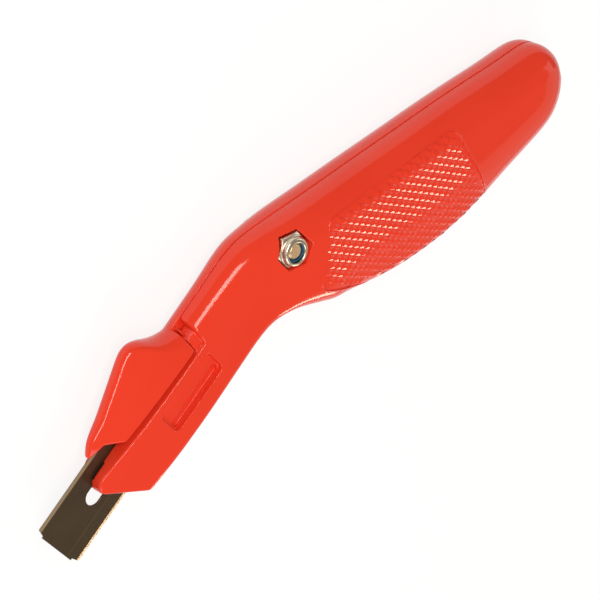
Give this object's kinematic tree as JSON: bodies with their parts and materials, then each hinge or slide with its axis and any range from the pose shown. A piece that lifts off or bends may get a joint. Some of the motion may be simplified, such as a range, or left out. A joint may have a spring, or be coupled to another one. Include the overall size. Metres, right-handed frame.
{
  "type": "carpet knife",
  "caption": "Swing-open carpet knife: two die-cast halves turn on one bolt, with a fixed slotted blade under a raised nose and spare blades in the hollow handle.",
  "frame": {"origin": "under the middle of the knife's box, on the surface that its left side lies on", "axes": "+X back to the tail, +Y to the thumb side, +Z along the pivot bolt from its head to the lock nut"},
  "size_m": [0.2054, 0.0834, 0.0222],
  "materials": {
    "red_paint": "gloss orange-red enamel over a die casting",
    "plated_steel": "zinc plated",
    "blue_nylon": "smooth",
    "spring_steel": "plain",
    "blade_steel": "dark brown temper, bright along the ground edges"
  },
  "bodies": {
    "left_half": {"left_shell": "red_paint", "blade": "blade_steel", "thrust_washer": "spring_steel", "spring_washer": "spring_steel", "spare_blade_1": "blade_steel", "spare_blade_2": "blade_steel", "spare_blade_3": "blade_steel", "spare_blade_4": "blade_steel", "spare_blade_5": "blade_steel"},
    "right_half": {"right_shell": "red_paint", "lock_nut": "plated_steel", "lock_nut_insert": "blue_nylon", "pivot_bolt": "plated_steel"}
  },
  "joints": [
    {"name": "handle_swing", "type": "hinge", "parent": "left_half", "child": "right_half", "pos_m": [0.00123, 0.01901, 0.0111], "axis": [0, 0, 1], "range_deg": [0, 165]}
  ]
}
